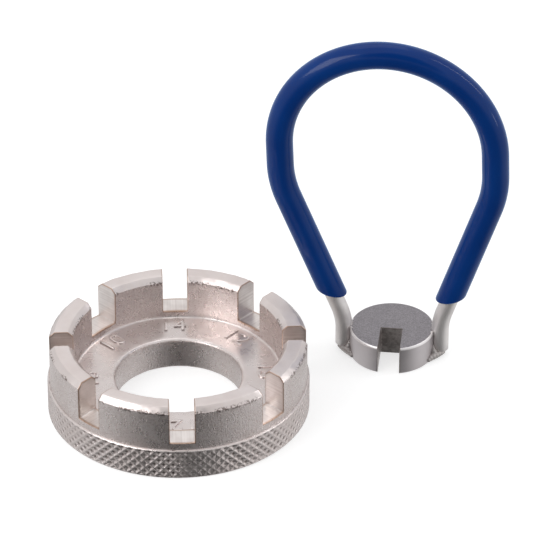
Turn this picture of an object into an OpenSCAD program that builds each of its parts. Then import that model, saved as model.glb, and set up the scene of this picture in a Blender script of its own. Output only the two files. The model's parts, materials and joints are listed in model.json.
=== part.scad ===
// Spoke wrench set: a round eight-slot nipple wrench and a loop-handled nipple wrench.
// Millimetres, +Z up. The origin is on the axis of the round wrench's bore, at the surface both stand on.

/* [Round wrench] */
// Outer diameter of the knurled band
band_d = 48; // [40:0.5:60]
// Height of the knurled band
band_h = 6; // [4.5:0.1:7.2]
// Bevel on both edges of the knurled band
band_bevel = 0.25; // [0.1:0.05:0.6]
// Outer diameter over the jaws
jaw_d = 47.2; // [42:0.1:60]
// Height over the jaws
ring_h = 14.7; // [11:0.1:20]
// Diameter of the well between the jaws
well_d = 38.4; // [32:0.1:42]
// Bevel on the outer top edge of the jaws
jaw_outer_bevel = 0.95; // [0.3:0.05:1.4]
// Bevel on the inner top edge of the jaws
jaw_inner_bevel = 0.9; // [0.3:0.05:1.4]
// Height of the numbered plate above the base
plate_h = 6.1; // [4:0.1:8]
// Fillet where the plate meets the wall of the well
well_fillet = 0.6; // [0.2:0.05:1]
// Diameter of the middle bore
bore_d = 23.2; // [14:0.1:29]
// Rounding of the upper edge of the middle bore
bore_round = 0.5; // [0.2:0.05:1]

/* [Round wrench slots] */
// Height of the slot floors above the plate
slot_sill = 1.3; // [0.8:0.1:3]
// Width of the slot on the +X side
slot_a_w = 4.4; // [3:0.1:8]
// Width of the second slot, counted towards +Y
slot_b_w = 5.4; // [3:0.1:8]
// Width of the third slot, on the +Y side
slot_c_w = 4.6; // [3:0.1:8]
// Width of the fourth slot
slot_d_w = 6.2; // [3:0.1:8]
// Width of the fifth slot, on the -X side
slot_e_w = 4.2; // [3:0.1:8]
// Width of the sixth slot
slot_f_w = 4.9; // [3:0.1:8]
// Width of the seventh slot, on the -Y side
slot_g_w = 4.5; // [3:0.1:8]
// Width of the eighth slot
slot_h_w = 5.4; // [3:0.1:8]

/* [Nipple head] */
// Diameter of the slotted head
head_d = 15.8; // [13:0.1:22]
// Height of the slotted head
head_h = 5.6; // [4:0.1:9]
// Bevel on the upper edge of the head
head_bevel = 0.55; // [0.1:0.05:0.8]
// Width of the nipple slot
nipple_w = 3.96; // [3:0.02:6]
// Depth of the nipple slot from the rim
nipple_depth = 7; // [5:0.1:9]

/* [Bow] */
// Diameter of the bent rod
rod_d = 3.2; // [2.4:0.1:4]
// How deep the rod is let into the side of the head
rod_seat = 0.5; // [0.2:0.05:0.9]
// Height of the rod's cut ends above the base
foot_z = 1.2; // [0.3:0.1:1.5]
// Height at which the rod starts to bend outwards
foot_h = 4.8; // [3.5:0.1:7]
// Radius of the outward bend, on the rod's centre line
bend_r = 13; // [8:0.5:17]
// Radius of the arc between leg and side, on the centre line
lower_arc_r = 20.5; // [10:0.1:26]
// Half width of the bow, on the centre line
bow_r = 19.7; // [17:0.1:24]
// Straight stretch at the widest part of the bow
side_h = 4.2; // [1:0.1:6]
// Height of the centre of the crown arc above the base
crown_z = 43.9; // [38:0.1:50]
// Sideways lean of the bow above the height where its bends start, towards -X
bow_lean = 2.2; // [0:0.1:4]

/* [Grip] */
// Outer diameter of the grip
grip_d = 5; // [4.5:0.1:7]
// Straight bare rod between the bend and the grip, along its inner side
grip_gap = 1.9; // [0.6:0.1:5]
// Turn of the grip's end cuts off square, which leaves its inner side longer
grip_slant = 31; // [0:1:40]
// Rounding of the grip's ends
grip_round = 0.55; // [0.3:0.05:0.85]

/* [Welds] */
// Radius of the weld beads
weld_r = 1.1; // [0.6:0.05:1.3]
// Height of the weld beads' lower ends above the base
weld_z = 0.2; // [0.1:0.05:0.8]
// Height of the weld beads' straight part
weld_h = 1.1; // [0.5:0.1:3]

/* [Placing] */
// Distance of the loop wrench from the round wrench along X
loop_x = 40.3; // [36:0.1:70]
// Distance of the loop wrench from the round wrench along Y
loop_y = 15.2; // [0:0.1:40]
// Turn of the loop wrench about its own upright axis
loop_turn = -9; // [-45:0.5:45]

/* [Hidden] */

turn_fn = 180;
rod_fn = 48;
arc_steps = 5;
bend_steps = 6;
crown_steps = 16;
bar_sides = 20;
end_round_share = 0.9;
over = 0.5;

nickel = [0.78, 0.75, 0.72];
steel = [0.62, 0.61, 0.6];
weld_steel = [0.52, 0.5, 0.48];
vinyl_blue = [0.05, 0.14, 0.42];

band_r = band_d / 2;
jaw_r = jaw_d / 2;
well_r = well_d / 2;
bore_r = bore_d / 2;
slot_floor = plate_h + slot_sill;
slot_widths = [slot_a_w, slot_b_w, slot_c_w, slot_d_w, slot_e_w, slot_f_w, slot_g_w, slot_h_w];
slot_step = 360 / len(slot_widths);

head_r = head_d / 2;
rod_r = rod_d / 2;
grip_r = grip_d / 2;
foot_x = head_r + rod_r - rod_seat;

// The leg is the inner tangent of the bend's circle and the lower arc's circle.
bend_c = [foot_x + bend_r, foot_h];
lower_c = [bow_r - lower_arc_r, crown_z - side_h];
centre_gap = norm(lower_c - bend_c);
tangent_turn = acos((bend_r + lower_arc_r) / centre_gap);
leg_lean = atan2(lower_c.y - bend_c.y, bend_c.x - lower_c.x) - tangent_turn;
leg_start = bend_c + bend_r * [-cos(leg_lean), sin(leg_lean)];

// Point on the leg's centre line, at a distance up from the bend
function leg_point(along) = leg_start + along * [sin(leg_lean), cos(leg_lean)];

// Centre line on the +X side: the foot and its bend, then the lower arc, the side and half of the crown
foot_path = concat(
    [[foot_x, foot_z, 90]],
    arc_path(bend_c, bend_r, 180, 180 - leg_lean, bend_steps, -90)
);
shoulder_path = concat(
    arc_path(lower_c, lower_arc_r, -leg_lean, 0, bend_steps, 90),
    arc_path([0, crown_z], bow_r, 0, 90, crown_steps, 90)
);
end_round = min(grip_round, end_round_share * (grip_r - rod_r));
// Each step outwards in the grip's end cut is a step of this share up the leg.
end_rise = tan(grip_slant);
grip_start = grip_gap + grip_r * end_rise;

// The seam is the upright line where the rod's surface meets the head's rim.
seam_x = (pow(foot_x, 2) + pow(head_r, 2) - pow(rod_r, 2)) / (2 * foot_x);
seam_y = sqrt(pow(head_r, 2) - pow(seam_x, 2));

// Points of an arc about a centre, from one angle to another
function arc_points(centre, r, from, to) =
    [for (i = [0:arc_steps]) let (a = from + (to - from) * i / arc_steps) centre + r * [cos(a), sin(a)]];

// Half section of the round wrench, as [radius, height]
function ring_section() = concat(
    [
        [bore_r, 0],
        [band_r - band_bevel, 0],
        [band_r, band_bevel],
        [band_r, band_h - band_bevel],
        [band_r - band_bevel, band_h],
        [jaw_r, band_h],
        [jaw_r, ring_h - jaw_outer_bevel],
        [jaw_r - jaw_outer_bevel, ring_h],
        [well_r + jaw_inner_bevel, ring_h],
        [well_r, ring_h - jaw_inner_bevel]
    ],
    arc_points([well_r - well_fillet, plate_h + well_fillet], well_fillet, 0, -90),
    arc_points([bore_r + bore_round, plate_h - bore_round], bore_round, 90, 180)
);

// Half section of the slotted head, as [radius, height]
function head_section() = [
    [0, 0],
    [head_r, 0],
    [head_r, head_h - head_bevel],
    [head_r - head_bevel, head_h],
    [0, head_h]
];

// Stations along an arc, as [x, height, heading]: the heading runs turn degrees past the radius.
function arc_path(centre, r, from, to, steps, turn) = [
    for (i = [0:steps])
        let (a = from + (to - from) * i / steps)
        [centre.x + r * cos(a), centre.y + r * sin(a), a + turn]
];

// Gives every station of a path the same bar radius, which makes a square ring of it.
function with_radius(path, r) = [for (station = path) concat(station, [r, 0])];

// Carries a half row of rings, from one foot up to the top of the crown, over to the other foot.
function whole_bow(half) = concat(
    half,
    [
        for (i = [len(half) - 2:-1:0])
            let (ring = half[i])
            [-ring[0], ring[1], 360 - ring[2], ring[3], -ring[4]]
    ]
);

function reversed(list) = [for (i = [len(list) - 1:-1:0]) list[i]];

// Sideways step of a point of the bow at a height, which makes the bow's lean
function lean_at(height) = max(0, height - foot_h) * tan(bow_lean);

// Corners of one ring [x, height, heading, radius, rise]: it is square to its heading where its rise is zero.
function ring_points(ring) = [
    for (k = [0:bar_sides - 1])
        let (
            a = 360 * k / bar_sides,
            out = ring[3] * cos(a),
            ahead = out * ring[4],
            height = ring[1] - out * cos(ring[2]) + ahead * sin(ring[2])
        )
        [
            ring[0] + out * sin(ring[2]) + ahead * cos(ring[2]) - lean_at(height),
            -ring[3] * sin(a),
            height
        ]
];

// Rounded lower end of the grip on the +X leg
function grip_end_rings() = [
    for (i = [0:arc_steps])
        let (a = 90 * i / arc_steps, along = grip_start + end_round * (1 - cos(a)))
        concat(leg_point(along), [90 - leg_lean, grip_r - end_round * (1 - sin(a)), end_rise])
];

// Stands the loop wrench where it belongs.
module placed_loop() {
    translate([loop_x, loop_y, 0]) rotate([0, 0, loop_turn]) children();
}

module both_sides() {
    children();
    mirror([1, 0, 0]) children();
}

// Skin over a row of rings, closed into a loop or capped at both ends
module skin(rings, closed) {
    count = len(rings);
    pairs = closed ? count : count - 1;
    polyhedron(
        points = [for (ring = rings) each ring_points(ring)],
        faces = concat(
            [
                for (i = [0:pairs - 1], k = [0:bar_sides - 1])
                    let (
                        here = i * bar_sides,
                        there = (i + 1) % count * bar_sides,
                        next = (k + 1) % bar_sides
                    )
                    each [[here + k, there + next, there + k], [here + k, here + next, there + next]]
            ],
            closed ? [] : [
                [for (k = [bar_sides - 1:-1:0]) k],
                [for (k = [0:bar_sides - 1]) (count - 1) * bar_sides + k]
            ]
        )
    );
}

// Weld beads at the foot of the +X seam, one in front and one behind
module weld_pair() {
    difference() {
        for (side = [-1, 1])
            translate([seam_x, side * (seam_y + weld_r / 2), weld_z]) {
                cylinder(r = weld_r, h = weld_h, $fn = rod_fn);
                translate([0, 0, weld_h]) sphere(r = weld_r, $fn = rod_fn);
            }
        cylinder(r = head_r, h = head_h, $fn = turn_fn);
        translate([foot_x, 0, foot_z]) cylinder(r = rod_r, h = head_h, $fn = rod_fn);
    }
}

module ring_wrench() {
    color(nickel)
        difference() {
            rotate_extrude($fn = turn_fn) polygon(ring_section());
            for (i = [0:len(slot_widths) - 1])
                rotate([0, 0, i * slot_step])
                    translate([0, -slot_widths[i] / 2, slot_floor])
                        cube([band_r + over, slot_widths[i], ring_h]);
        }
}

module nipple_head() {
    color(steel)
        placed_loop()
            difference() {
                rotate_extrude($fn = turn_fn) polygon(head_section());
                translate([-nipple_w / 2, -(head_r + over), -over])
                    cube([nipple_w, nipple_depth + over, head_h + 2 * over]);
                both_sides()
                    translate([foot_x, 0, foot_z]) cylinder(r = rod_r, h = head_h, $fn = rod_fn);
            }
}

module bow_rod() {
    color(steel)
        placed_loop() skin(whole_bow(with_radius(concat(foot_path, shoulder_path), rod_r)), false);
}

// The grip's skin runs over its outside to the far end and back along the rod.
module vinyl_grip() {
    outside = concat(grip_end_rings(), with_radius(shoulder_path, grip_r));
    start = concat(leg_point(grip_start), [90 - leg_lean, rod_r, end_rise]);
    inside = concat([start], with_radius(shoulder_path, rod_r));
    color(vinyl_blue)
        placed_loop() skin(concat(whole_bow(outside), reversed(whole_bow(inside))), true);
}

module weld_left() {
    color(weld_steel) placed_loop() mirror([1, 0, 0]) weld_pair();
}

module weld_right() {
    color(weld_steel) placed_loop() weld_pair();
}

ring_wrench();
nipple_head();
bow_rod();
vinyl_grip();
weld_left();
weld_right();
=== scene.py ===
import json
import math

import bmesh
import bpy
from mathutils import Matrix, Vector, noise

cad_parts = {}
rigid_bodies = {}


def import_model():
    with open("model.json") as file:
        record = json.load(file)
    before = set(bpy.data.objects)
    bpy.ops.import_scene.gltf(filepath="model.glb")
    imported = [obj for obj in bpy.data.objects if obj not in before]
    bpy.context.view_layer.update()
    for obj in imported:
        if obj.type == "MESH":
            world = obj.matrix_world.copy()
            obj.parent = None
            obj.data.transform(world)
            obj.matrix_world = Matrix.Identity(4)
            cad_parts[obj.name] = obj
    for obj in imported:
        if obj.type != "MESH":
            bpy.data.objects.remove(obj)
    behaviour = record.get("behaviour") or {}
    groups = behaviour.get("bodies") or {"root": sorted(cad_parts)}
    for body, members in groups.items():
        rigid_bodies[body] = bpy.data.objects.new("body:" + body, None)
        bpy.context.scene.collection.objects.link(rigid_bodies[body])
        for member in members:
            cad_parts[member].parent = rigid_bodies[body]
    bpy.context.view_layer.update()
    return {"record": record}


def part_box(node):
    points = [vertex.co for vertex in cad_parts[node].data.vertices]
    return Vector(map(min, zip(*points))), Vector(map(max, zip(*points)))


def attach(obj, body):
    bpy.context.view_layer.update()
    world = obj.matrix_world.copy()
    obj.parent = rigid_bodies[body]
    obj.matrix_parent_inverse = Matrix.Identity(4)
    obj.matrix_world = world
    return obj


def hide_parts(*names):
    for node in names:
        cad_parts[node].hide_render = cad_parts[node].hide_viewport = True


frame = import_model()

MM = 0.001
TAU = 2 * math.pi
MOUNTS = {mount["name"]: mount for mount in frame["record"]["mounts"]}

# Round wrench, in metres
RING_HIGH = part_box("ring_wrench")[1]
BAND_R = RING_HIGH.x
RING_H = RING_HIGH.z
BAND_H = 6 * MM
BAND_BEVEL = 0.25 * MM
JAW_R = 23.6 * MM
WELL_R = 19.2 * MM
JAW_OUTER_BEVEL = 0.95 * MM
JAW_INNER_BEVEL = 0.9 * MM
JAW_EDGE_ROUND = 0.3 * MM
PLATE_H = 6.1 * MM
SLOT_FLOOR = 7.4 * MM
WELL_FILLET = 0.6 * MM
WELL_FOOT = PLATE_H + WELL_FILLET * 0.3
LEDGE_FILLET = 0.1 * MM
BORE_R = MOUNTS["ring_bore"]["dims"]["r_mm"] * MM
BORE_TOP_ROUND = 0.5 * MM
BORE_FOOT_ROUND = 0.3 * MM
SLOT_WIDTHS = [w * MM for w in (4.4, 5.4, 4.6, 6.2, 4.2, 4.9, 4.5, 5.4)]
SLOTS = len(SLOT_WIDTHS)
SLOT_STEP = TAU / SLOTS
SLOT_EDGE = 0.12 * MM

# Gauge numbers on the plate, one for each slot
GAUGES = ("13", "12", "14", "10", "15", "11", "12", "11")
NUMBER_R = 16.1 * MM
NUMBER_SIZE = 4.9 * MM
NUMBER_SPACING = 1.1
NUMBER_SHIFT = 0.55 * MM
NUMBER_RISE = 0.2 * MM

# Mesh of the casting: each column of the walls is three fine ones on the knurled band
SLOT_COLUMNS = 6
JAW_COLUMNS = 38
SECTION = SLOT_COLUMNS + JAW_COLUMNS
COLUMNS = SECTION * SLOTS
FINE = 3
FINE_COLUMNS = COLUMNS * FINE
BAND_ROWS = 38
FLOOR_STEPS = 5
FACE_BORDER = 0.14

# Longest stretch between two rows: down the outer wall, round the foot and well, and over a jaw
WALL_ROW = 0.4 * MM
FOOT_ROW = 0.9 * MM
JAW_ROW = 0.7 * MM

# Knurl: diamond cells of so many fine columns, with a pit in each and less depth at the band's edges
CELL_COLUMNS = 12
CELLS_ROUND = FINE_COLUMNS // CELL_COLUMNS
BAND_FLAT = BAND_H - 2 * BAND_BEVEL
CELL_H = BAND_FLAT * CELL_COLUMNS / BAND_ROWS
PIT_DEPTH = 0.26 * MM
PIT_SLOPE = 0.8
PIT_SOFTNESS = 0.4
EDGE_DEPTHS = (0, 0.7, 1)

# Wear of the knurl: patches with less of its depth left, and one stretch that is rubbed down
PATCH_SIZE = 6 * MM
PATCH_RANGE = (0.32, 0.5)
PATCH_DEPTH = 0.6
WORN_ANGLE = math.radians(-81)
WORN_SPREAD = math.radians(13)
WORN_CORE = 0.4
WORN_DEPTH = 0.42

# Waviness that the mould leaves on walls and on bevels, with a finer wave on top of it
WALL_WAVE = 0.012 * MM
BEVEL_WAVE = 0.06 * MM
WAVE_LENGTH = 1.5 * MM
FINE_WAVE = 0.5
FINE_PER_WAVE = 2.3

# How sandy the plate and the band are, where 1 is an upright wall, and how far up the plate's normals point
PLATE_SANDY = 0.5
BAND_SANDY = 0.6
PLATE_NORMAL = 0.7

# Lower edges of a jaw's bevels, as [radius, height], and how far their pits reach
BEVEL_CORNERS = (
    Vector((JAW_R, RING_H - JAW_OUTER_BEVEL)),
    Vector((WELL_R, RING_H - JAW_INNER_BEVEL)),
)
PITTED_REACH = 0.3 * MM

# The slot face that is painted darker as shade, since it turns away from the light, as [slot, -1 for its
# first side or 1 for its last], and how dark it is painted
SHADED_SLOT_FACE = (5, -1)
SLOT_FACE_SHADE = 0.75

# Loop wrench, in metres, about its own upright axis
HEAD_LOW, HEAD_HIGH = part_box("nipple_head")
HEAD_R = (HEAD_HIGH.x - HEAD_LOW.x) / 2
HEAD_H = HEAD_HIGH.z
LOOP_X = (HEAD_HIGH.x + HEAD_LOW.x) / 2
LOOP_Y = HEAD_HIGH.y - HEAD_R
LOOP_TURN = math.radians(-9)
HEAD_EDGE = 0.55 * MM
NIPPLE_W = 3.96 * MM
NIPPLE_DEPTH = 7 * MM
SLOT_BACK = NIPPLE_DEPTH - HEAD_R
ROD_R = 1.6 * MM
ROD_SEAT = 0.5 * MM
SEAM_GAP = 0.1 * MM
NOTCH_R = ROD_R + SEAM_GAP
FOOT_X = HEAD_R + ROD_R - ROD_SEAT
FOOT_Z = 1.2 * MM
FOOT_H = 4.8 * MM
FOOT_EDGE = 0.15 * MM
BEND_R = 13 * MM
LOWER_ARC_R = 20.5 * MM
BOW_R = 19.7 * MM
SIDE_H = 4.2 * MM
CROWN_Z = 43.9 * MM
BOW_LEAN = math.radians(2.2)
GRIP_R = 2.5 * MM
GRIP_GAP = 1.9 * MM
GRIP_SLANT = math.radians(31)
GRIP_ROUND = 0.55 * MM
GRIP_FADE = 8 * MM
GRIP_START = GRIP_GAP + GRIP_R * math.tan(GRIP_SLANT)

# The bow's +X side: a bend out of the head, a straight leg, an arc back in, and the crown
BEND_C = Vector((FOOT_X + BEND_R, FOOT_H))
LOWER_C = Vector((BOW_R - LOWER_ARC_R, CROWN_Z - SIDE_H))
TANGENT_TURN = math.acos((BEND_R + LOWER_ARC_R) / (LOWER_C - BEND_C).length)
LEG_LEAN = math.atan2(LOWER_C.y - BEND_C.y, BEND_C.x - LOWER_C.x) - TANGENT_TURN
LEG_UP = Vector((math.sin(LEG_LEAN), math.cos(LEG_LEAN)))
LEG_START = BEND_C + BEND_R * Vector((-math.cos(LEG_LEAN), math.sin(LEG_LEAN)))

# Mesh of the loop wrench
BAR_SIDES = 64
BEND_STEPS = 16
CROWN_STEPS = 40
LEG_STEPS = 8
END_STEPS = 8
END_GAP = 0.01 * MM
SEWN = 0.002 * MM
RIM_STEPS = 24
BACK_STEPS = 56
NOTCH_STEPS = 10
NEAR = 0.01 * MM

# Camera, aimed so that the round wrench's base centre falls on its place in the photograph
PHOTO = 533
FOCAL_PX = 4350
SENSOR = 36
RING_PX = (178.9, 402.3)
REACH = 800 * MM
TURN = math.radians(2.7)
PITCH = math.radians(33)


def make_camera():
    ahead = Vector((math.sin(TURN) * math.cos(PITCH), math.cos(TURN) * math.cos(PITCH), -math.sin(PITCH)))
    right = Vector((math.cos(TURN), -math.sin(TURN), 0))
    down = ahead.cross(right)
    offset_x = (RING_PX[0] - PHOTO / 2) / FOCAL_PX * REACH
    offset_y = (RING_PX[1] - PHOTO / 2) / FOCAL_PX * REACH
    camera = bpy.data.objects.new("camera", bpy.data.cameras.new("camera"))
    camera.data.sensor_width = SENSOR
    camera.data.lens = FOCAL_PX / PHOTO * SENSOR
    camera.data.clip_start = 10 * MM
    camera.data.clip_end = 20
    place = Matrix((right, -down, -ahead)).transposed().to_4x4()
    place.translation = -(offset_x * right + offset_y * down + REACH * ahead)
    camera.matrix_world = place
    bpy.context.scene.collection.objects.link(camera)
    bpy.context.scene.camera = camera


make_camera()


# Node trees

class Nodes:
    """A node tree under construction, with short ways to add and join its nodes."""

    def __init__(self, tree):
        self.tree = tree

    def put(self, socket, value):
        """Gives an input its value, or joins it to another node's output."""
        if isinstance(value, bpy.types.NodeSocket):
            self.tree.links.new(value, socket)
        else:
            socket.default_value = value

    def node(self, kind, settings=None, **inputs):
        """Adds a node with its settings, and with inputs by name, where _ stands for a space."""
        made = self.tree.nodes.new(kind)
        for key, value in (settings or {}).items():
            setattr(made, key, value)
        for key, value in inputs.items():
            self.put(made.inputs[key.replace("_", " ")], value)
        return made

    def math(self, how, *values):
        made = self.node("ShaderNodeMath", {"operation": how})
        for socket, value in zip(made.inputs, values):
            self.put(socket, value)
        return made.outputs[0]

    def times(self, a, b):
        return self.math("MULTIPLY", a, b)

    def between(self, value, low, high, at_low=0.0, at_high=1.0, smooth=False):
        """Carries low to at_low and high to at_high, and goes no further beyond them."""
        settings = {"interpolation_type": "SMOOTHSTEP" if smooth else "LINEAR"}
        made = self.node("ShaderNodeMapRange", settings, Value=value, From_Min=low, From_Max=high)
        self.put(made.inputs["To Min"], at_low)
        self.put(made.inputs["To Max"], at_high)
        return made.outputs["Result"]


class Shader(Nodes):
    """A material under construction, with patterns on Object coordinates and on named attributes."""

    def __init__(self, name):
        self.material = bpy.data.materials.new(name)
        self.material.use_nodes = True
        super().__init__(self.material.node_tree)
        self.surface = self.tree.nodes["Principled BSDF"]
        self.place = self.node("ShaderNodeTexCoord").outputs["Object"]

    def set(self, **inputs):
        for key, value in inputs.items():
            self.put(self.surface.inputs[key.replace("_", " ")], value)

    def stretched(self, x, y, z):
        return self.node("ShaderNodeMapping", Vector=self.place, Scale=(x, y, z)).outputs["Vector"]

    def noise(self, size, detail=2.0, rough=0.5, at=None):
        spot = at or self.place
        made = self.node("ShaderNodeTexNoise", Vector=spot, Scale=1 / size, Detail=detail, Roughness=rough)
        return made.outputs["Fac"]

    def lines(self, value, size, detail=2.0):
        settings = {"noise_dimensions": "1D"}
        made = self.node("ShaderNodeTexNoise", settings, W=value, Scale=1 / size, Detail=detail)
        return made.outputs["Fac"]

    def attribute(self, name):
        return self.node("ShaderNodeAttribute", {"attribute_name": name}).outputs["Fac"]

    def mix(self, share, a, b):
        made = self.node("ShaderNodeMix", {"data_type": "RGBA"})
        for socket, value in ((made.inputs[0], share), (made.inputs[6], a), (made.inputs[7], b)):
            self.put(socket, value)
        return made.outputs[2]

    def bump(self, height, depth, before=None):
        made = self.node("ShaderNodeBump", Height=height, Distance=depth, Strength=1.0)
        if before:
            self.put(made.inputs["Normal"], before)
        return made.outputs["Normal"]


class Recipe(Nodes):
    """A Geometry Nodes tree under construction. It is given a geometry, named sizes and a finish."""

    def __init__(self, name, sizes):
        super().__init__(bpy.data.node_groups.new(name, "GeometryNodeTree"))
        face = self.tree.interface
        for label, kind, value in (("Geometry", "Geometry", None), *sizes, ("Finish", "Material", None)):
            socket = face.new_socket(label, in_out="INPUT", socket_type="NodeSocket" + kind)
            if value is not None:
                socket.default_value = value
        face.new_socket("Geometry", in_out="OUTPUT", socket_type="NodeSocketGeometry")
        self.given = self.node("NodeGroupInput").outputs

    def stored(self, geometry, name, value):
        """Keeps a value on each point as a named attribute."""
        settings = {"data_type": "FLOAT", "domain": "POINT"}
        made = self.node("GeometryNodeStoreNamedAttribute", settings, Geometry=geometry, Name=name)
        self.put(made.inputs["Value"], value)
        return made.outputs["Geometry"]

    def finished(self, geometry):
        real = self.node("GeometryNodeRealizeInstances", Geometry=geometry).outputs["Geometry"]
        coated = self.node("GeometryNodeSetMaterial", Geometry=real, Material=self.given["Finish"])
        self.node("NodeGroupOutput", Geometry=coated.outputs["Geometry"])
        return self.tree


def apply_tree(piece, tree, **values):
    """Adds a Geometry Nodes modifier and sets its named inputs by their identifiers."""
    modifier = piece.modifiers.new(tree.name, "NODES")
    modifier.node_group = tree
    for item in tree.interface.items_tree:
        if item.in_out == "INPUT" and item.name.replace(" ", "_") in values:
            modifier[item.identifier] = values[item.name.replace(" ", "_")]


# Materials

NICKEL_DEEP = (0.73, 0.655, 0.635, 1)
NICKEL_PALE = (0.8, 0.735, 0.72, 1)
NICKEL_SPECK = (0.58, 0.485, 0.46, 1)
MILLED_DEEP = (0.72, 0.655, 0.63, 1)
MILLED_PALE = (0.92, 0.86, 0.835, 1)
SHADED_FACE_NICKEL = (0.42, 0.37, 0.34, 1)
EDGE_BROWN = (0.4, 0.23, 0.14, 1)
PIT_BROWN = (0.12, 0.08, 0.07, 1)
# Grime and painted shade in the knurl's pits
GRIME_AND_PIT_SHADE = (0.15, 0.115, 0.105, 1)


def cast_nickel():
    """Nickel plate over a casting: sandy on its walls, smooth on its tops, with cutter lines on the slot
    faces, one of them painted darker as shade, brown edges along the slots, pitted bevels, and grime with
    painted shade in the knurl's pits."""
    s = Shader("cast_nickel")
    milled = s.attribute("milled")
    cast = s.math("SUBTRACT", 1.0, milled)
    sandy = s.times(s.attribute("sandy"), cast)
    grain = s.noise(0.28 * MM, detail=3.0, rough=0.6)
    lumps = s.noise(1.4 * MM)
    cloud = s.noise(6 * MM, detail=3.0)
    cutter = s.lines(s.attribute("mill_line"), 0.4 * MM)
    drift = s.noise(2.2 * MM, detail=1.0)
    base = s.mix(s.between(cloud, 0.35, 0.7), NICKEL_DEEP, NICKEL_PALE)
    base = s.mix(s.times(s.between(grain, 0.5, 0.3), sandy), base, NICKEL_SPECK)
    brushed = s.between(s.math("ADD", cutter, drift), 0.7, 1.3)
    base = s.mix(milled, base, s.mix(brushed, MILLED_DEEP, MILLED_PALE))
    # Painted shade: one slot face made darker, where it turns away from the light
    base = s.mix(s.attribute("painted_face_shade"), base, SHADED_FACE_NICKEL)
    base = s.mix(s.between(s.attribute("slot_edge"), 0.3, 0.95, at_high=0.85), base, EDGE_BROWN)
    runs = s.between(s.noise(4 * MM, detail=1.0), 0.4, 0.48)
    pits = s.times(s.between(s.noise(0.4 * MM, detail=3.0, rough=0.6), 0.44, 0.58), runs)
    pitted = s.times(pits, s.times(s.attribute("bevel_edge"), cast))
    base = s.mix(s.between(pitted, 0.2, 0.8, at_high=0.8), base, PIT_BROWN)
    # Knurl pits darkened: grime, and painted shade where the pits' walls would lie in shade
    grime_and_pit_shade = s.between(s.attribute("sunk"), 0.5, 0.95, at_high=0.78)
    s.set(Metallic=1.0, Base_Color=s.mix(grime_and_pit_shade, base, GRIME_AND_PIT_SHADE))
    rough_cast = s.math("ADD", s.between(lumps, 0.3, 0.7, 0.24, 0.34), s.times(s.attribute("level"), 0.2))
    rough_milled = s.between(cutter, 0.3, 0.7, 0.3, 0.37)
    s.set(Roughness=s.math("ADD", s.times(rough_cast, cast), s.times(rough_milled, milled)))
    sand = s.bump(s.times(grain, sandy), 0.13 * MM)
    skin = s.bump(s.times(lumps, cast), 0.02 * MM, before=sand)
    s.set(Normal=s.bump(s.times(cutter, milled), 0.011 * MM, before=skin))
    return s.material


TURNED_DEEP = (0.62, 0.58, 0.59, 1)
TURNED_PALE = (0.7, 0.66, 0.67, 1)
BLASTED_DEEP = (0.24, 0.225, 0.24, 1)
BLASTED_PALE = (0.36, 0.34, 0.36, 1)
# Painted highlight on the round of the head's edge
EDGE_HIGHLIGHT_STEEL = (0.95, 0.92, 0.92, 1)
# Painted shade on the slot walls, mottled
SLOT_SHADE_DEEP = (0.36, 0.325, 0.305, 1)
SLOT_SHADE_PALE = (0.62, 0.575, 0.55, 1)
DARK_EDGE_COLOUR = (0.13, 0.11, 0.1, 1)


def satin_steel():
    """Plated steel of the head: smooth on its turned side, blasted and darker on its face, painted bright on
    the round of its edge as a highlight, mottled and painted darker in the slot as shade, and darker still
    along the slot's rounded edge."""
    s = Shader("satin_steel")
    face = s.attribute("face")
    side = s.math("SUBTRACT", 1.0, face)
    grain = s.noise(0.22 * MM, detail=3.0, rough=0.6)
    cloud = s.noise(4 * MM)
    turned = s.noise(0.5 * MM, at=s.stretched(0.2, 0.2, 1))
    bright = s.mix(s.between(cloud, 0.3, 0.7), TURNED_DEEP, TURNED_PALE)
    blasted = s.mix(s.between(grain, 0.35, 0.65), BLASTED_DEEP, BLASTED_PALE)
    base = s.mix(face, bright, blasted)
    # Painted highlight: the edge's round made brighter in colour, as if lit
    base = s.mix(s.attribute("wear_and_edge_highlight"), base, EDGE_HIGHLIGHT_STEEL)
    mottled = s.between(s.noise(0.9 * MM, detail=3.0, rough=0.6), 0.4, 0.6)
    # Slot walls mottled and painted darker as shade inside the slot
    base = s.mix(s.attribute("slot"), base, s.mix(mottled, SLOT_SHADE_DEEP, SLOT_SHADE_PALE))
    # The slot's rounded edges are made darker
    s.set(Metallic=1.0, Base_Color=s.mix(s.attribute("dark_slot_edge"), base, DARK_EDGE_COLOUR))
    s.set(Roughness=s.math("ADD", s.between(cloud, 0.3, 0.7, 0.44, 0.5), s.times(face, 0.06)))
    low = s.bump(s.times(turned, side), 0.006 * MM)
    s.set(Normal=s.bump(s.times(grain, face), 0.03 * MM, before=low))
    return s.material


ROD_DEEP = (0.86, 0.83, 0.82, 1)
ROD_PALE = (0.94, 0.91, 0.895, 1)
# Width of a drawing line, as a share of the way round the rod
DRAWN_LINE = 0.012


def drawn_steel():
    """Plated drawn rod, with faint lines along it."""
    s = Shader("drawn_steel")
    drawn = s.lines(s.attribute("around"), DRAWN_LINE, detail=3.0)
    grain = s.noise(0.35 * MM)
    cloud = s.noise(3 * MM)
    s.set(Metallic=1.0, Base_Color=s.mix(s.between(cloud, 0.3, 0.7), ROD_DEEP, ROD_PALE))
    s.set(Roughness=s.between(grain, 0.3, 0.7, 0.52, 0.6))
    s.set(Normal=s.bump(drawn, 0.006 * MM, before=s.bump(grain, 0.008 * MM)))
    return s.material


# The rod's plating, painted darker as shade where the weld fills the corner
WELD_SHADED_DEEP = (0.42, 0.39, 0.38, 1)
WELD_SHADED_PALE = (0.52, 0.49, 0.48, 1)


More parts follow.
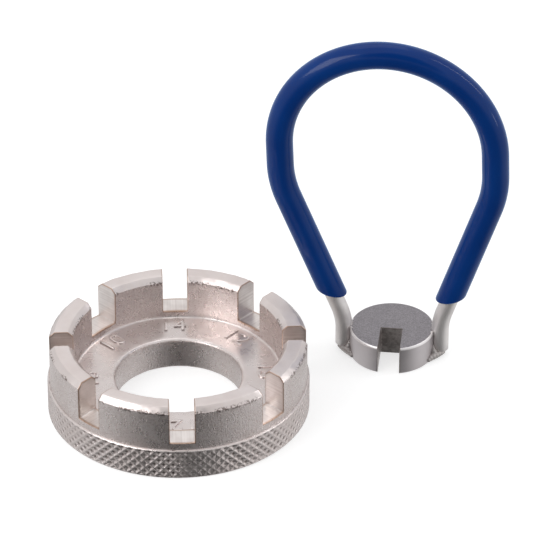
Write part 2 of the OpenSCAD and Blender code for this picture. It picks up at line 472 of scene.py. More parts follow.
def weld_metal():
    """Plated weld fillet, painted darker than the rod as shade in the corner at the rod's foot."""
    s = Shader("weld_metal")
    ripple = s.noise(0.5 * MM)
    s.set(Metallic=1.0, Base_Color=s.mix(s.between(ripple, 0.35, 0.65), WELD_SHADED_DEEP, WELD_SHADED_PALE))
    s.set(Roughness=s.between(ripple, 0.3, 0.7, 0.42, 0.52), Normal=s.bump(ripple, 0.006 * MM))
    return s.material


VINYL_DEEP = (0.0008, 0.027, 0.165, 1)
VINYL_PALE = (0.0015, 0.036, 0.195, 1)
VINYL_SHEEN = (0.12, 0.45, 1.0, 1)


def blue_vinyl():
    """Glossy dipped vinyl with a faint flow in its skin and a blue sheen."""
    s = Shader("blue_vinyl")
    flow = s.noise(8 * MM, detail=1.0)
    fine = s.noise(0.5 * MM)
    s.set(Base_Color=s.mix(s.between(flow, 0.3, 0.7), VINYL_DEEP, VINYL_PALE))
    s.set(Roughness=s.between(fine, 0.3, 0.7, 0.11, 0.16), Specular_IOR_Level=0.22, IOR=1.5)
    s.set(Sheen_Weight=1.0, Sheen_Roughness=0.3, Sheen_Tint=VINYL_SHEEN)
    s.set(Normal=s.bump(flow, 0.2 * MM, before=s.bump(fine, 0.003 * MM)))
    return s.material


# Shared mesh tools

def new_object(name, data):
    made = bpy.data.objects.new(name, data)
    bpy.context.scene.collection.objects.link(made)
    return made


def taken_mesh(piece):
    """The plain mesh that a piece's curve or modifiers make. The piece itself is deleted."""
    evaluated = piece.evaluated_get(bpy.context.evaluated_depsgraph_get())
    mesh = bpy.data.meshes.new_from_object(evaluated)
    old = piece.data
    bpy.data.objects.remove(piece)
    bpy.data.batch_remove([old])
    return mesh


def plain(piece):
    """The same piece as a plain mesh, without its modifiers."""
    name = piece.name
    mesh = taken_mesh(piece)
    mesh.name = name
    return new_object(name, mesh)


def mesh_from(bm, name):
    mesh = bpy.data.meshes.new(name)
    bm.to_mesh(mesh)
    bm.free()
    return mesh


def outward(mesh):
    """Turns every face outwards on a closed mesh."""
    bm = bmesh.new()
    bm.from_mesh(mesh)
    bmesh.ops.recalc_face_normals(bm, faces=bm.faces)
    bm.to_mesh(mesh)
    bm.free()


def finish_edges(piece, width, segments, by_weight=False):
    """Rounds a piece's edges: the sharp ones, or those that have a weight, by that share of the width."""
    bevel = piece.modifiers.new("edges", "BEVEL")
    bevel.width = width
    bevel.segments = segments
    bevel.use_clamp_overlap = False
    bevel.limit_method = "WEIGHT" if by_weight else "ANGLE"
    bevel.angle_limit = math.radians(60)


def even_shading(piece):
    weighted = piece.modifiers.new("shading", "WEIGHTED_NORMAL")
    weighted.keep_sharp = True


def coat(mesh, finish, sharp=None):
    """Gives a mesh its finish and shades it smooth, apart from edges sharper than so many degrees."""
    mesh.materials.clear()
    mesh.materials.append(finish)
    mesh.shade_smooth()
    if sharp:
        mesh.set_sharp_from_angle(angle=math.radians(sharp))


def rounded(corners, steps=4):
    """Outline through [x, y, radius] corners, with an arc at each corner that has a radius."""
    points = []
    for i, (x, y, radius) in enumerate(corners):
        here = Vector((x, y))
        if not radius:
            points.append(here)
            continue
        back = (Vector(corners[i - 1][:2]) - here).normalized()
        on = (Vector(corners[i + 1][:2]) - here).normalized()
        half = back.angle(on) / 2
        centre = here + (back + on).normalized() * radius / math.sin(half)
        start = here + back * radius / math.tan(half) - centre
        end = here + on * radius / math.tan(half) - centre
        turn = start.angle_signed(end)
        for step in range(steps + 1):
            a = -turn * step / steps
            points.append(centre + Vector((start.x * math.cos(a) - start.y * math.sin(a),
                                           start.x * math.sin(a) + start.y * math.cos(a))))
    return points


def refined(points, longest):
    """The same outline with no stretch longer than the one given."""
    out = [points[0]]
    for a, b in zip(points, points[1:]):
        parts = max(1, math.ceil((b - a).length / longest))
        out += [a.lerp(b, k / parts) for k in range(1, parts + 1)]
    return out


def outline_normals(points):
    out = []
    for i in range(len(points)):
        along = points[min(i + 1, len(points) - 1)] - points[max(i - 1, 0)]
        out.append(Vector((along.y, -along.x)).normalized())
    return out


# Round wrench

def slot_half_angle(section, r):
    """Half of the angle that a slot takes up at radius r."""
    return math.asin(SLOT_WIDTHS[section % SLOTS] / (2 * r))


def column_angle(column, r, even):
    """Angle of a column at radius r. With even 0 the columns follow the slots' flat sides; with 1 they are
    spread evenly."""
    section, k = divmod(column, SECTION)
    half = slot_half_angle(section, r)
    if k < SLOT_COLUMNS:
        at = (2 * k / SLOT_COLUMNS - 1) * half
    else:
        end = SLOT_STEP - slot_half_angle(section + 1, r)
        at = half + (end - half) * (k - SLOT_COLUMNS) / JAW_COLUMNS
    level = (k - SLOT_COLUMNS / 2) * SLOT_STEP / SECTION
    return section * SLOT_STEP + at + (level - at) * even


def cast_point(column, point, normal, even):
    """One point of the casting, moved off its true place by the waviness of the mould."""
    a = column_angle(column, point.x, even)
    spot = Vector((point.x * math.cos(a), point.x * math.sin(a), point.y)) / WAVE_LENGTH
    slant = min(1.0, 2 * abs(normal.x * normal.y))
    wave = noise.noise(spot) + FINE_WAVE * noise.noise(spot * FINE_PER_WAVE)
    wave *= min(1.0, point.y / BAND_BEVEL)
    moved = point + normal * wave * (WALL_WAVE + (BEVEL_WAVE - WALL_WAVE) * slant)
    a = column_angle(column, moved.x, even)
    return (moved.x * math.cos(a), moved.x * math.sin(a), moved.y)


def knurl_tree():
    """Geometry Nodes: sinks rows of diamond pits into the band, between ridges that cross."""
    g = Recipe("knurl", (
        ("Cells Round", "Float", CELLS_ROUND),
        ("Cell Height", "Float", CELL_H),
        ("Band Foot", "Float", BAND_BEVEL),
        ("Pit Depth", "Float", PIT_DEPTH),
        ("Pit Slope", "Float", PIT_SLOPE),
        ("Patch Size", "Float", PATCH_SIZE),
        ("Patch Depth", "Float", PATCH_DEPTH),
        ("Worn Angle", "Float", WORN_ANGLE),
        ("Worn Spread", "Float", WORN_SPREAD),
        ("Worn Depth", "Float", WORN_DEPTH),
    ))
    given = g.given
    place = g.node("GeometryNodeInputPosition").outputs["Position"]
    x, y, z = g.node("ShaderNodeSeparateXYZ", Vector=place).outputs
    angle = g.math("ARCTAN2", y, x)
    u = g.times(angle, g.math("DIVIDE", given["Cells Round"], TAU))
    v = g.math("DIVIDE", g.math("SUBTRACT", z, given["Band Foot"]), given["Cell Height"])

    def depth_between_ridges(sum_or_difference):
        """0 on each ridge and 1 halfway to the next."""
        across = g.math("SUBTRACT", g.times(g.math("FRACT", sum_or_difference), 2.0), 1.0)
        return g.math("SUBTRACT", 1.0, g.math("ABSOLUTE", across))

    rising = depth_between_ridges(g.math("SUBTRACT", u, v))
    falling = depth_between_ridges(g.math("ADD", u, v))
    slope = g.math("DIVIDE", g.math("MINIMUM", rising, falling), given["Pit Slope"])
    pit = g.math("SMOOTH_MIN", slope, 1.0, PIT_SOFTNESS)
    scale = g.math("DIVIDE", 1.0, given["Patch Size"])
    patches = g.node("ShaderNodeTexNoise", Vector=place, Scale=scale, Detail=1.0).outputs["Fac"]
    patch = g.between(patches, *PATCH_RANGE, given["Patch Depth"])
    away = g.math("ABSOLUTE", g.math("SUBTRACT", angle, given["Worn Angle"]))
    core = g.times(given["Worn Spread"], WORN_CORE)
    wear_and_edge_highlight = g.between(away, core, given["Worn Spread"], given["Worn Depth"])
    knurl = g.node("GeometryNodeInputNamedAttribute", {"data_type": "FLOAT"}, Name="knurl")
    sunk = g.times(pit, g.times(g.times(patch, wear_and_edge_highlight), knurl.outputs["Attribute"]))
    inward = g.times(g.times(sunk, given["Pit Depth"]), -1.0)
    inward_x = g.times(g.math("COSINE", angle), inward)
    inward_y = g.times(g.math("SINE", angle), inward)
    offset = g.node("ShaderNodeCombineXYZ", X=inward_x, Y=inward_y).outputs["Vector"]
    kept = g.stored(given["Geometry"], "sunk", sunk)
    moved = g.node("GeometryNodeSetPosition", Geometry=kept, Offset=offset)
    return g.finished(moved.outputs["Geometry"])


def lower_rows():
    """Outline of the casting below the slot floors, from the jaws' outer wall round to the well's wall.
    The knurled band's own rows lie between the two parts returned."""
    above = refined(rounded([
        (JAW_R, SLOT_FLOOR, 0),
        (JAW_R, BAND_H, LEDGE_FILLET),
        (BAND_R - BAND_BEVEL, BAND_H, 0),
    ], 2), WALL_ROW)
    below = refined(rounded([
        (BAND_R - BAND_BEVEL, 0, 0),
        (BORE_R, 0, BORE_FOOT_ROUND),
        (BORE_R, PLATE_H, BORE_TOP_ROUND),
        (WELL_R, PLATE_H, WELL_FILLET),
        (WELL_R, SLOT_FLOOR, 0),
    ]), FOOT_ROW)
    return above, below


def jaw_rows():
    """Outline of a jaw over its top, from one slot floor corner to the other."""
    return refined(rounded([
        (JAW_R, SLOT_FLOOR, 0),
        (JAW_R, RING_H - JAW_OUTER_BEVEL, JAW_EDGE_ROUND),
        (JAW_R - JAW_OUTER_BEVEL, RING_H, JAW_EDGE_ROUND),
        (WELL_R + JAW_INNER_BEVEL, RING_H, JAW_EDGE_ROUND),
        (WELL_R, RING_H - JAW_INNER_BEVEL, JAW_EDGE_ROUND),
        (WELL_R, SLOT_FLOOR, 0),
    ], 3), JAW_ROW)


def evenness(point):
    """How evenly the columns are spread at an outline point: not at all at the slot floors, and fully at
    the feet of the outer wall and of the well."""
    foot = BAND_H if point.x > (JAW_R + WELL_R) / 2 else WELL_FOOT
    return min(1.0, max(0.0, (SLOT_FLOOR - point.y) / (SLOT_FLOOR - foot)))


class Casting:
    """Collects the vertices and faces of the round wrench, with marks on them for its finish."""

    def __init__(self):
        self.points = []
        self.faces = []
        self.milled = []
        names = ("knurl", "mill_line", "sandy", "level", "slot_edge", "bevel_edge", "painted_face_shade")
        self.marks = {name: {} for name in names}

    def add(self, point):
        self.points.append(point)
        return len(self.points) - 1

    def mark(self, name, vertices, value):
        self.marks[name].update((vertex, value) for vertex in vertices)

    def face(self, corners, milled=False):
        self.faces.append(corners)
        self.milled.append(float(milled))

    def strip(self, a, b, milled=False):
        """Faces between two rows of vertices."""
        for k in range(len(a) - 1):
            self.face([a[k], a[k + 1], b[k + 1], b[k]], milled)

    def cast_row(self, columns, point, normal, even):
        """A row of the cast walls, marked by how sandy and level it is and whether it edges a bevel."""
        row = [self.add(cast_point(column, point, normal, even)) for column in columns]
        on_plate = normal.y > PLATE_NORMAL and point.y < SLOT_FLOOR
        self.mark("sandy", row, PLATE_SANDY if on_plate else max(0.0, 2 * normal.x ** 2 - 1))
        self.mark("level", row, max(0.0, normal.y) ** 4)
        reach = min((point - corner).length for corner in BEVEL_CORNERS)
        self.mark("bevel_edge", row, 1.0 if reach < PITTED_REACH else 0.0)
        return row

    def whole_rows(self, outline):
        normals = outline_normals(outline)
        return [self.cast_row(range(COLUMNS), p, n, evenness(p)) for p, n in zip(outline, normals)]

    def join(self, rows):
        """Faces all round between whole rows."""
        for a, b in zip(rows, rows[1:]):
            self.strip(a + a[:1], b + b[:1])

    def band_row(self, number):
        """A row of the knurled band."""
        z = BAND_BEVEL + BAND_FLAT * number / BAND_ROWS
        row = []
        for f in range(FINE_COLUMNS):
            a = (f / FINE - SLOT_COLUMNS / 2) * TAU / COLUMNS
            row.append(self.add((BAND_R * math.cos(a), BAND_R * math.sin(a), z)))
        from_edge = min(number, BAND_ROWS - number)
        self.mark("knurl", row, EDGE_DEPTHS[min(from_edge, len(EDGE_DEPTHS) - 1)])
        self.mark("sandy", row, BAND_SANDY)
        return row

    def join_fine(self, coarse, fine):
        """Faces between a whole row and a row of the band."""
        for c in range(COLUMNS):
            run = [fine[(c * FINE + k) % FINE_COLUMNS] for k in range(FINE + 1)]
            self.face([coarse[(c + 1) % COLUMNS], coarse[c]] + run)

    def join_band(self, a, b, number):
        """Two rows of the band: each cell's triangles lie along the ridges nearest to them."""
        offset = SLOT_COLUMNS * FINE // 2
        for f in range(FINE_COLUMNS):
            g = (f + 1) % FINE_COLUMNS
            rising = (f - offset - number) % CELL_COLUMNS
            falling = (f - offset + number + 1) % CELL_COLUMNS
            if min(rising, CELL_COLUMNS - rising) <= min(falling, CELL_COLUMNS - falling):
                self.face([a[f], a[g], b[g]])
                self.face([a[f], b[g], b[f]])
            else:
                self.face([a[f], a[g], b[f]])
                self.face([a[g], b[g], b[f]])

    def slot_floor(self, slot, outer, inner):
        """A slot's floor, as strips of vertices across the slot, from the outer wall to the well."""
        columns = range(slot * SECTION, slot * SECTION + SLOT_COLUMNS + 1)
        strips = [[outer[column] for column in columns]]
        for step in range(1, FLOOR_STEPS):
            r = JAW_R + (WELL_R - JAW_R) * step / FLOOR_STEPS
            angles = [column_angle(column, r, 0) for column in columns]
            strips.append([self.add((r * math.cos(a), r * math.sin(a), SLOT_FLOOR)) for a in angles])
        strips.append([inner[column] for column in columns])
        for a, b in zip(strips, strips[1:]):
            self.strip(a, b, milled=True)
        for k, along in enumerate(zip(*strips)):
            self.mark("mill_line", along, (2 * k / SLOT_COLUMNS - 1) * SLOT_WIDTHS[slot] / 2)
        self.mark("slot_edge", strips[0] + strips[-1], 1.0)
        return strips

    def jaw(self, section, outer, inner):
        """The jaw that follows a slot, as rows over its top from the outer wall to the well."""
        first = section * SECTION + SLOT_COLUMNS
        columns = [(first + k) % COLUMNS for k in range(JAW_COLUMNS + 1)]
        outline = jaw_rows()
        rows = [[outer[column] for column in columns]]
        for point, normal in list(zip(outline, outline_normals(outline)))[1:-1]:
            rows.append(self.cast_row(columns, point, normal, 0))
        rows.append([inner[column] for column in columns])
        for a, b in zip(rows, rows[1:]):
            self.strip(a, b)
        return rows

    def slot_side(self, slot, side, strips, rows):
        """A slot's side face, its first with side -1 or its last with side 1, between the strips of the
        floor and the rows of the jaw there. A narrow border goes round one large face."""
        cap = [row[0 if side > 0 else -1] for row in rows]
        foot = [strip[-1 if side > 0 else 0] for strip in reversed(strips[1:-1])]
        self.mark("slot_edge", cap, 1.0)
        lines = self.marks["mill_line"]
        for vertex in cap[1:-1]:
            climb = self.points[vertex][2] - SLOT_FLOOR
            lines[vertex] = side * (SLOT_WIDTHS[slot] / 2 + climb)
        border = cap + foot
        corners = [Vector(self.points[vertex]) for vertex in border]
        middle = sum(corners, Vector()) / len(corners)
        inset = [self.add(middle + (corner - middle) * (1 - FACE_BORDER)) for corner in corners]
        # The face turned away from the light gets painted shade
        if (slot, side) == SHADED_SLOT_FACE:
            self.mark("painted_face_shade", inset + cap[1:-1], SLOT_FACE_SHADE)
        for k, vertex in enumerate(inset):
            lines[vertex] = lines[border[k]] * (1 - FACE_BORDER)
            self.face([border[k - 1], border[k], vertex, inset[k - 1]], milled=True)
        self.face(inset, milled=True)

    def mesh(self, name):
        made = bpy.data.meshes.new(name)
        made.from_pydata(self.points, [], self.faces)
        for mark, values in self.marks.items():
            layer = made.attributes.new(mark, "FLOAT", "POINT")
            layer.data.foreach_set("value", [values.get(i, 0.0) for i in range(len(self.points))])
        made.attributes.new("milled", "FLOAT", "FACE").data.foreach_set("value", self.milled)
        return made


def casting_mesh(name):
    c = Casting()
    above, below = (c.whole_rows(outline) for outline in lower_rows())
    band = [c.band_row(number) for number in range(BAND_ROWS + 1)]
    c.join(above)
    c.join_fine(above[-1], band[-1])
    for number in range(BAND_ROWS):
        c.join_band(band[number], band[number + 1], number)
    c.join_fine(below[0], band[0])
    c.join(below)
    outer = above[0]
    inner = below[-1]
    floors = [c.slot_floor(slot, outer, inner) for slot in range(SLOTS)]
    for slot in range(SLOTS):
        after = (slot + 1) % SLOTS
        rows = c.jaw(slot, outer, inner)
        c.slot_side(slot, 1, floors[slot], rows)
        c.slot_side(after, -1, floors[after], rows)
    return c.mesh(name)


def make_casting(finish):
    piece = new_object("round_casting", casting_mesh("round_casting"))
    outward(piece.data)
    piece.data.shade_smooth()
    finish_edges(piece, SLOT_EDGE, segments=2)
    apply_tree(piece, knurl_tree(), Finish=finish)
    even_shading(piece)
    piece = plain(piece)
    piece.data.materials.clear()
    piece.data.materials.append(finish)
    return piece


def make_numbers(finish):
    """Raised gauge numbers on the plate, one in front of each slot, their tops outwards."""
    upright = Matrix.Rotation(-math.pi / 2, 4, "Z")
    spot = Matrix.Translation((NUMBER_R, NUMBER_SHIFT, PLATE_H + NUMBER_RISE / 3))
    bm = bmesh.new()
    for i, gauge in enumerate(GAUGES):
        text = bpy.data.curves.new("number", "FONT")
        text.body = gauge
        text.size = NUMBER_SIZE
        text.align_x = "CENTER"
        text.align_y = "CENTER"
        text.space_character = NUMBER_SPACING
        text.extrude = NUMBER_RISE / 2
        text.bevel_depth = NUMBER_RISE / 2
        text.bevel_resolution = 1
        text.offset = -NUMBER_RISE / 3
        number = taken_mesh(new_object("number", text))
        number.transform(Matrix.Rotation(i * SLOT_STEP, 4, "Z") @ spot @ upright)
        bm.from_mesh(number)
        bpy.data.meshes.remove(number)
    bmesh.ops.remove_doubles(bm, verts=bm.verts, dist=0.001 * MM)
    mesh = mesh_from(bm, "plate_numbers")
    outward(mesh)
    coat(mesh, finish, sharp=40)
    return new_object("plate_numbers", mesh)


# Loop wrench

def placed_loop():
    """Stands the loop wrench where it belongs."""
    return Matrix.Translation((LOOP_X, LOOP_Y, 0)) @ Matrix.Rotation(LOOP_TURN, 4, "Z")


def arc(centre, r, start, end, steps):
    """Points along an arc, ends included, with angles in degrees."""
    turns = [math.radians(start + (end - start) * k / steps) for k in range(steps + 1)]
    return [Vector((centre.x + r * math.cos(a), centre.y + r * math.sin(a))) for a in turns]


def shoulder():
    """Centre line of the +X side from the top of the leg to the top of the crown."""
    lower = arc(LOWER_C, LOWER_ARC_R, -math.degrees(LEG_LEAN), 0, BEND_STEPS)
    return lower + arc(Vector((0, CROWN_Z)), BOW_R, 0, 90, CROWN_STEPS)


def both_legs(half):
    """Carries stations [point, radius] of the +X side over the crown to the other foot."""
    return half + [(Vector((-p.x, p.y)), r) for p, r in reversed(half[:-1])]


def rod_stations():
    foot = [
        (Vector((FOOT_X, FOOT_Z)), ROD_R - FOOT_EDGE),
        (Vector((FOOT_X, FOOT_Z + FOOT_EDGE)), ROD_R),
        (Vector((FOOT_X, FOOT_Z + FOOT_H / 3)), ROD_R),
        (Vector((FOOT_X, FOOT_Z + FOOT_H * 2 / 3)), ROD_R),
    ]
    bend = arc(BEND_C, BEND_R, 180, 180 - math.degrees(LEG_LEAN), BEND_STEPS)
    return both_legs(foot + [(p, ROD_R) for p in bend + shoulder()])


def grip_stations():
    """The sleeve, from the bore at one end, over the end's flat face and round, to the other end."""
    end = [(GRIP_START - 2 * END_GAP, ROD_R), (GRIP_START - END_GAP, GRIP_R - GRIP_ROUND)]
    for k in range(END_STEPS + 1):
        a = math.radians(90 * k / END_STEPS)
        end.append((GRIP_START + GRIP_ROUND * (1 - math.cos(a)), GRIP_R - GRIP_ROUND * (1 - math.sin(a))))
    top = LEG_START + LEG_UP * (GRIP_START + 2 * GRIP_ROUND)
    leg_end = shoulder()[0]
    stations = [(LEG_START + LEG_UP * along, r) for along, r in end]
    stations += [(top.lerp(leg_end, k / LEG_STEPS), GRIP_R) for k in range(LEG_STEPS)]
    return both_legs(stations + [(p, GRIP_R) for p in shoulder()])


def slant_ends(mesh):
    """Slides the sleeve's ends along the legs, so that they are cut on a slant, longer on the inner side."""
    near = GRIP_START + 2 * GRIP_ROUND
    for vertex in mesh.vertices:
        side = math.copysign(1, vertex.co.x)
        spot = Vector((side * vertex.co.x, vertex.co.z)) - LEG_START
        along = spot.dot(LEG_UP)
        outwards = spot.x * LEG_UP.y - spot.y * LEG_UP.x
        if along < near + GRIP_FADE:
            slide = outwards * math.tan(GRIP_SLANT) * min(1.0, (near + GRIP_FADE - along) / GRIP_FADE)
            vertex.co.x += side * LEG_UP.x * slide
            vertex.co.z += LEG_UP.y * slide


def lean(mesh):
    """Leans the bow sideways above the height where its bends start."""
    for vertex in mesh.vertices:
        vertex.co.x -= max(0, vertex.co.z - FOOT_H) * math.tan(BOW_LEAN)


def path_object(name, stations):
    curve = bpy.data.curves.new(name, "CURVE")
    curve.dimensions = "3D"
    spline = curve.splines.new("POLY")
    spline.points.add(len(stations) - 1)
    for point, (spot, radius) in zip(spline.points, stations):
        point.co = (spot.x, 0, spot.y, 1)
        point.radius = radius / MM
    return new_object(name, curve)


def bar_tree():
    """Geometry Nodes: sweeps a round bar along a path, as thick as the path's radius says in millimetres.
    With a bore it becomes a sleeve, closed where the path's ends narrow to the bore."""
    g = Recipe("bar", (
        ("Sides", "Int", BAR_SIDES),
        ("Bore", "Float", 0.0),
        ("Hollow", "Bool", False),
    ))
    given = g.given
    circle = g.node("GeometryNodeCurvePrimitiveCircle", Resolution=given["Sides"], Radius=MM)
    factor = g.node("GeometryNodeSplineParameter").outputs["Factor"]
    profile = g.stored(circle.outputs["Curve"], "around", factor)
    solid = g.node("FunctionNodeBooleanMath", {"operation": "NOT"})
    g.put(solid.inputs[0], given["Hollow"])

    def swept(scale, capped):
        made = g.node("GeometryNodeCurveToMesh", Curve=given["Geometry"], Scale=scale, Fill_Caps=capped)
        g.put(made.inputs["Profile Curve"], profile)
        return made.outputs["Mesh"]

    outside = swept(g.node("GeometryNodeInputRadius").outputs["Radius"], solid.outputs[0])
    inside = swept(g.math("DIVIDE", given["Bore"], MM), False)
    turned = g.node("GeometryNodeFlipFaces", Mesh=inside)
    both = g.node("GeometryNodeJoinGeometry", Geometry=outside)
    g.put(both.inputs["Geometry"], turned.outputs["Mesh"])
    sewn = g.node("GeometryNodeMergeByDistance", Geometry=both.outputs["Geometry"], Distance=SEWN)
    pick = g.node("GeometryNodeSwitch", {"input_type": "GEOMETRY"}, Switch=given["Hollow"])
    g.put(pick.inputs["False"], outside)
    g.put(pick.inputs["True"], sewn.outputs["Geometry"])
    return g.finished(pick.outputs["Output"])


def make_bar(name, stations, tree, finish, bore=0.0):
    piece = path_object(name, stations)
    apply_tree(piece, tree, Bore=bore, Hollow=bore > 0, Finish=finish)
    piece = plain(piece)
    outward(piece.data)
    if bore:
        slant_ends(piece.data)
    lean(piece.data)
    piece.data.transform(placed_loop())
    coat(piece.data, finish, sharp=50)
    return piece


def head_outline(notched):
    """Outline of the head in plan, counter-clockwise from the slot's +X lip, as [x, y, whether it lies in a
    notch]. Each side has a notch for the rod, or as many points on its whole rim."""
    lip = math.asin(NIPPLE_W / 2 / HEAD_R)
    seam = math.acos((FOOT_X ** 2 + HEAD_R ** 2 - NOTCH_R ** 2) / (2 * FOOT_X) / HEAD_R)
    spread = math.asin(HEAD_R * math.sin(seam) / NOTCH_R)
    points = []

    def rim(start, end, steps):
        for k in range(steps):
            a = start + (end - start) * k / steps
            points.append((HEAD_R * math.cos(a), HEAD_R * math.sin(a), False))

    def seat(side, middle):
        if not notched:
            rim(middle - seam, middle + seam, NOTCH_STEPS)
            return
        for k in range(NOTCH_STEPS):
            a = spread - 2 * spread * k / NOTCH_STEPS
            points.append((side * (FOOT_X - NOTCH_R * math.cos(a)), -side * NOTCH_R * math.sin(a), True))

    rim(lip - math.pi / 2, -seam, RIM_STEPS)
    seat(1, 0)
    rim(seam, math.pi - seam, BACK_STEPS)
    seat(-1, math.pi)
    rim(math.pi + seam, TAU - math.pi / 2 - lip, RIM_STEPS)
    points.append((-NIPPLE_W / 2, -HEAD_R * math.cos(lip), False))
    points.append((-NIPPLE_W / 2, SLOT_BACK, False))
    points.append((NIPPLE_W / 2, SLOT_BACK, False))
    return points


# Share of the head's edge round that the edges of its top, its base and its slot get
TOP_ROUND = 1.0
BASE_ROUND = 0.5
SLOT_ROUND = 0.3


def edge_share(edge):
    a, b = (v.co for v in edge.verts)
    on_rim = min(a.to_2d().length, b.to_2d().length) > HEAD_R - NEAR
    in_slot = max(abs(a.x), abs(b.x)) < NIPPLE_W / 2 + NEAR and max(a.y, b.y) < 0
    upright = abs(a.z - b.z) > NEAR
    at_top = min(a.z, b.z) > HEAD_H - NEAR
    at_base = max(a.z, b.z) < NEAR
    if on_rim and (at_top or at_base):
        return TOP_ROUND if at_top else BASE_ROUND
    return SLOT_ROUND if in_slot and (at_top or at_base or upright) else 0.0


def head_mesh(name):
    """Slotted disc with a notch for the rod on each side, above a whole foot."""
    bm = bmesh.new()
    weight = bm.edges.layers.float.new("bevel_weight_edge")
    whole = head_outline(False)
    notched = head_outline(True)
    count = len(whole)
    seats = [i for i in range(count) if notched[i][2]]
    base = [bm.verts.new((x, y, 0)) for x, y, _ in whole]
    step = [bm.verts.new((x, y, FOOT_Z)) for x, y, _ in whole]
    cut = list(step)
    for i in seats:
        cut[i] = bm.verts.new((notched[i][0], notched[i][1], FOOT_Z))
    top = [bm.verts.new((x, y, HEAD_H)) for x, y, _ in notched]
    bm.faces.new(reversed(base))
    bm.faces.new(top)
    for i in range(count):
        j = (i + 1) % count
        bm.faces.new((base[i], base[j], step[j], step[i]))
        bm.faces.new((cut[i], cut[j], top[j], top[i]))
    for run in (seats[:NOTCH_STEPS], seats[NOTCH_STEPS:]):
        outer = step[run[0]:run[-1] + 2]
        inner = cut[run[0]:run[-1] + 2]
        bm.faces.new(outer + [v for v in reversed(inner) if v not in outer])
    for edge in bm.edges:
        edge[weight] = edge_share(edge)
    bmesh.ops.recalc_face_normals(bm, faces=bm.faces)
    return mesh_from(bm, name)


# Strength of the marks on the head's faces: the painted highlight on the edge's round, the painted shade on
# the slot walls and the darker slot edge; and how upright a normal is on its flats and on its rounds
EDGE_HIGHLIGHT = 0.8
SLOT_SHADE = 0.8
DARK_SLOT_EDGE_SHARE = 0.85
FLAT_NORMAL = 0.95
ROUND_NORMAL = 0.05


def mark_head(mesh):
    """Marks each face of the head as flat, as edge with a painted highlight, as slot wall with painted shade
    or as the slot's darker edge.
    """
    marks = {"face": [], "wear_and_edge_highlight": [], "slot": [], "dark_slot_edge": []}
    slot_x = NIPPLE_W / 2 + HEAD_EDGE * 0.35
    slot_y = SLOT_BACK + HEAD_EDGE
    for p in mesh.polygons:
        flat = abs(p.normal.z) > FLAT_NORMAL
        on_round = not flat and abs(p.normal.z) > ROUND_NORMAL
        in_slot = abs(p.center.x) < slot_x and p.center.y < slot_y
        # The upper rounds of the rim get a painted highlight
        wear_and_edge_highlight = on_round and not in_slot and p.center.z > HEAD_H / 2
        marks["face"].append(1.0 if flat else 0.0)
        marks["wear_and_edge_highlight"].append(EDGE_HIGHLIGHT if wear_and_edge_highlight else 0.0)
        # Slot walls get painted shade
        marks["slot"].append(SLOT_SHADE if in_slot and not flat else 0.0)
        marks["dark_slot_edge"].append(DARK_SLOT_EDGE_SHARE if in_slot and on_round else 0.0)
    for name, values in marks.items():
        mesh.attributes.new(name, "FLOAT", "FACE").data.foreach_set("value", values)


def make_head(finish):
    piece = new_object("slotted_head", head_mesh("slotted_head"))
    piece.data.shade_smooth()
    finish_edges(piece, HEAD_EDGE, segments=3, by_weight=True)
    even_shading(piece)
    piece = plain(piece)
    mark_head(piece.data)
    piece.data.transform(placed_loop())
    piece.data.materials.append(finish)
    return piece


# Beads of one weld in front of the +X seam: [x, y, height, radius] in millimetres, along the rod's cut end
# to the head's foot and then up the seam
WELD_BEADS = (
    (9.7, 1.0, 1.05, 0.42),
    (9.3, 1.25, 1.0, 0.55),
    (8.85, 1.6, 0.92, 0.62),
    (8.4, 1.95, 0.85, 0.66),
    (7.95, 2.35, 0.78, 0.65),
    (7.5, 2.8, 0.68, 0.58),
    (7.2, 3.3, 0.55, 0.42),
    (8.0, 1.7, 1.5, 0.6),
    (7.9, 1.5, 2.0, 0.45),
    (7.85, 1.35, 2.5, 0.28),
)
RIPPLE = 0.02
RIPPLE_SIZE = 0.9 * MM
MELT_SIZE = 0.05 * MM
MELT_STEPS = 40


def make_welds(name, side, finish):
    """A fillet of melted beads at the foot of one seam, in front and behind."""
    bm = bmesh.new()
    for front in (-1, 1):
        for x, y, height, radius in WELD_BEADS:
            spot = Vector((side * x, front * y, height)) * MM
            made = bmesh.ops.create_icosphere(bm, subdivisions=4, radius=radius * MM)
            for vertex in made["verts"]:
                ripple = noise.noise((vertex.co + spot) / RIPPLE_SIZE) * RIPPLE
                vertex.co = spot + vertex.co * (1 + ripple)
    piece = new_object(name, mesh_from(bm, name))
    melt = piece.modifiers.new("melt", "REMESH")
    melt.mode = "VOXEL"
    melt.voxel_size = MELT_SIZE
    soft = piece.modifiers.new("soft", "SMOOTH")
    soft.factor = 0.5
    soft.iterations = MELT_STEPS
    piece = plain(piece)
    piece.data.transform(placed_loop())
    coat(piece.data, finish)
    return piece


# Floor, backdrop and light

LOW_OPENING = Vector((-0.05, -0.82, -0.57))
CAMERA_OPENING = Vector((-0.04, -0.84, 0.54))
FLOOR_HALF = 1.5
FLOOR_COLOUR = (0.5, 0.5, 0.5, 1)
FLOOR_GLOW = 0.63
FLOOR_MIRRORED = (0.87, 0.87, 0.87, 1)
LAMP_AIM = Vector((0.02, 0.01, 0.015))
# Softboxes and strips of light: name, place, width, height and watts
LAMPS = (
    ("left_softbox", (-0.36, -0.24, 0.32), 0.3, 0.3, 1.0),
    ("overhead_softbox", (0.0, 0.25, 0.55), 0.4, 0.3, 0.25),
    ("right_strip", (0.45, 0.05, 0.35), 0.03, 0.4, 0.25),
    ("low_right_strip", (0.5, -0.12, 0.03), 0.03, 0.12, 0.08),
)


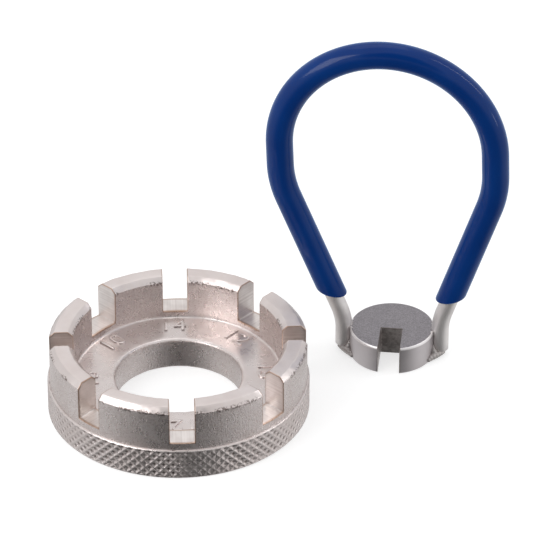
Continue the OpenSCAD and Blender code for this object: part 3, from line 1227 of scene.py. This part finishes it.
def tent(nodes, way):
    """Brightness of a light tent in each direction: white all round, with a dark opening low in front and a
    smaller one for the camera."""

    def opening(toward, edge, core, around, inside):
        facing = nodes.node("ShaderNodeVectorMath", {"operation": "DOT_PRODUCT"})
        nodes.put(facing.inputs[0], way)
        nodes.put(facing.inputs[1], toward.normalized())
        return nodes.between(facing.outputs["Value"], edge, core, around, inside, smooth=True)

    low = opening(LOW_OPENING, edge=0.5, core=0.95, around=0.8, inside=0.08)
    high = opening(CAMERA_OPENING, edge=0.88, core=0.98, around=1.0, inside=0.1)
    return nodes.times(low, high)


def make_floor():
    """Pale floor. The camera sees it near white, with the lamps' shadows; metal sees the tent in it."""
    mesh = bpy.data.meshes.new("floor")
    corners = [(x * FLOOR_HALF, y * FLOOR_HALF, 0) for x, y in ((-1, -1), (1, -1), (1, 1), (-1, 1))]
    mesh.from_pydata(corners, [], [(0, 1, 2, 3)])
    s = Shader("pale_floor")
    s.set(Base_Color=FLOOR_COLOUR, Roughness=0.9, Specular_IOR_Level=0.0)
    rays = s.node("ShaderNodeLightPath").outputs
    glow = s.node("ShaderNodeEmission", Strength=s.times(rays["Is Camera Ray"], FLOOR_GLOW))
    lit = s.node("ShaderNodeAddShader")
    s.put(lit.inputs[0], s.surface.outputs[0])
    s.put(lit.inputs[1], glow.outputs[0])
    way = s.node("ShaderNodeVectorMath", {"operation": "SCALE"}, Scale=-1)
    s.put(way.inputs[0], s.node("ShaderNodeNewGeometry").outputs["Incoming"])
    brightness = tent(s, way.outputs["Vector"])
    mirrored = s.node("ShaderNodeEmission", Color=FLOOR_MIRRORED, Strength=brightness)
    in_metal = s.math("MAXIMUM", rays["Is Glossy Ray"], rays["Is Transmission Ray"])
    pick = s.node("ShaderNodeMixShader", Fac=in_metal)
    s.put(pick.inputs[1], lit.outputs[0])
    s.put(pick.inputs[2], mirrored.outputs[0])
    s.put(s.tree.nodes["Material Output"].inputs["Surface"], pick.outputs[0])
    mesh.materials.append(s.material)
    new_object("floor", mesh)


def make_world():
    """White to the camera; to the object, the tent."""
    world = bpy.data.worlds.new("studio")
    world.use_nodes = True
    nodes = Nodes(world.node_tree)
    pick = nodes.node("ShaderNodeMix", Factor=nodes.node("ShaderNodeLightPath").outputs["Is Camera Ray"])
    nodes.put(pick.inputs[2], tent(nodes, nodes.node("ShaderNodeTexCoord").outputs["Generated"]))
    nodes.put(pick.inputs[3], 1.0)
    shade = nodes.tree.nodes["Background"].inputs
    nodes.put(shade["Strength"], pick.outputs[0])
    nodes.put(shade["Color"], (1, 1, 1, 1))
    bpy.context.scene.world = world


def softbox(name, spot, wide, high, watts):
    lamp = bpy.data.lights.new(name, "AREA")
    lamp.shape = "RECTANGLE"
    lamp.size = wide
    lamp.size_y = high
    lamp.energy = watts
    holder = new_object(name, lamp)
    way = LAMP_AIM - Vector(spot)
    holder.matrix_world = Matrix.Translation(spot) @ way.to_track_quat("-Z", "Y").to_matrix().to_4x4()
    holder.visible_camera = False


# The whole scene

nickel = cast_nickel()
steel = satin_steel()
drawn = drawn_steel()
welded = weld_metal()
vinyl = blue_vinyl()

casting = make_casting(nickel)
numbers = make_numbers(nickel)
bar = bar_tree()
head = make_head(steel)
rod = make_bar("bent_rod", rod_stations(), bar, drawn)
sleeve = make_bar("vinyl_sleeve", grip_stations(), bar, vinyl, ROD_R)
beads_left = make_welds("weld_beads_left", -1, welded)
beads_right = make_welds("weld_beads_right", 1, welded)

for piece in (casting, numbers):
    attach(piece, "round_wrench")
for piece in (head, rod, sleeve, beads_left, beads_right):
    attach(piece, "loop_wrench")
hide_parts("ring_wrench")
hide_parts("nipple_head")
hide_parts("bow_rod")
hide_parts("vinyl_grip")
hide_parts("weld_left")
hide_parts("weld_right")

make_floor()
make_world()
for name, spot, wide, high, watts in LAMPS:
    softbox(name, spot, wide, high, watts)
bpy.context.scene.view_settings.view_transform = "Standard"
